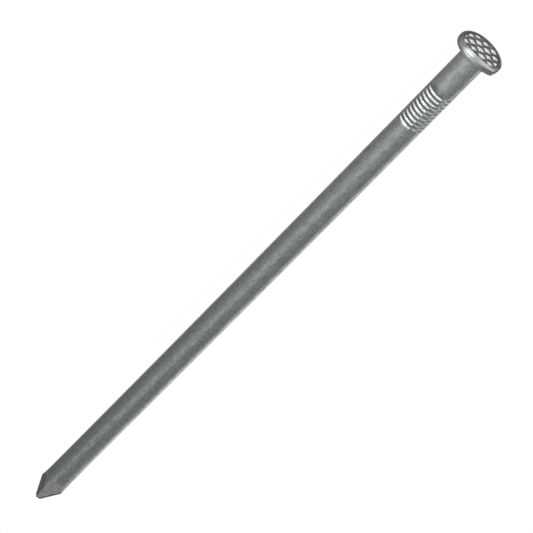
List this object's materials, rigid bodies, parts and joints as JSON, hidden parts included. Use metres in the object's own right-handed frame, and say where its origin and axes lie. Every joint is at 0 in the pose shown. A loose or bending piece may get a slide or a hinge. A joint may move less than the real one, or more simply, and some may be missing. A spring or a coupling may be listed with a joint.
{
  "type": "nail",
  "caption": "Round wire nail in bright steel, with a flat checkered head, a band of grip marks on the neck and a four-sided point.",
  "frame": {"origin": "on the nail's axis at the underside of the head, the face that comes down on the work", "axes": "+Z along the nail's axis, from the point to the head; the rows of pads on the head run along X"},
  "size_m": [0.0088, 0.0088, 0.14],
  "materials": {
    "drawn_steel": "bright drawn wire, uncoated, slightly dull and mottled"
  },
  "bodies": {
    "root": {"nail": "drawn_steel"}
  },
  "joints": []
}
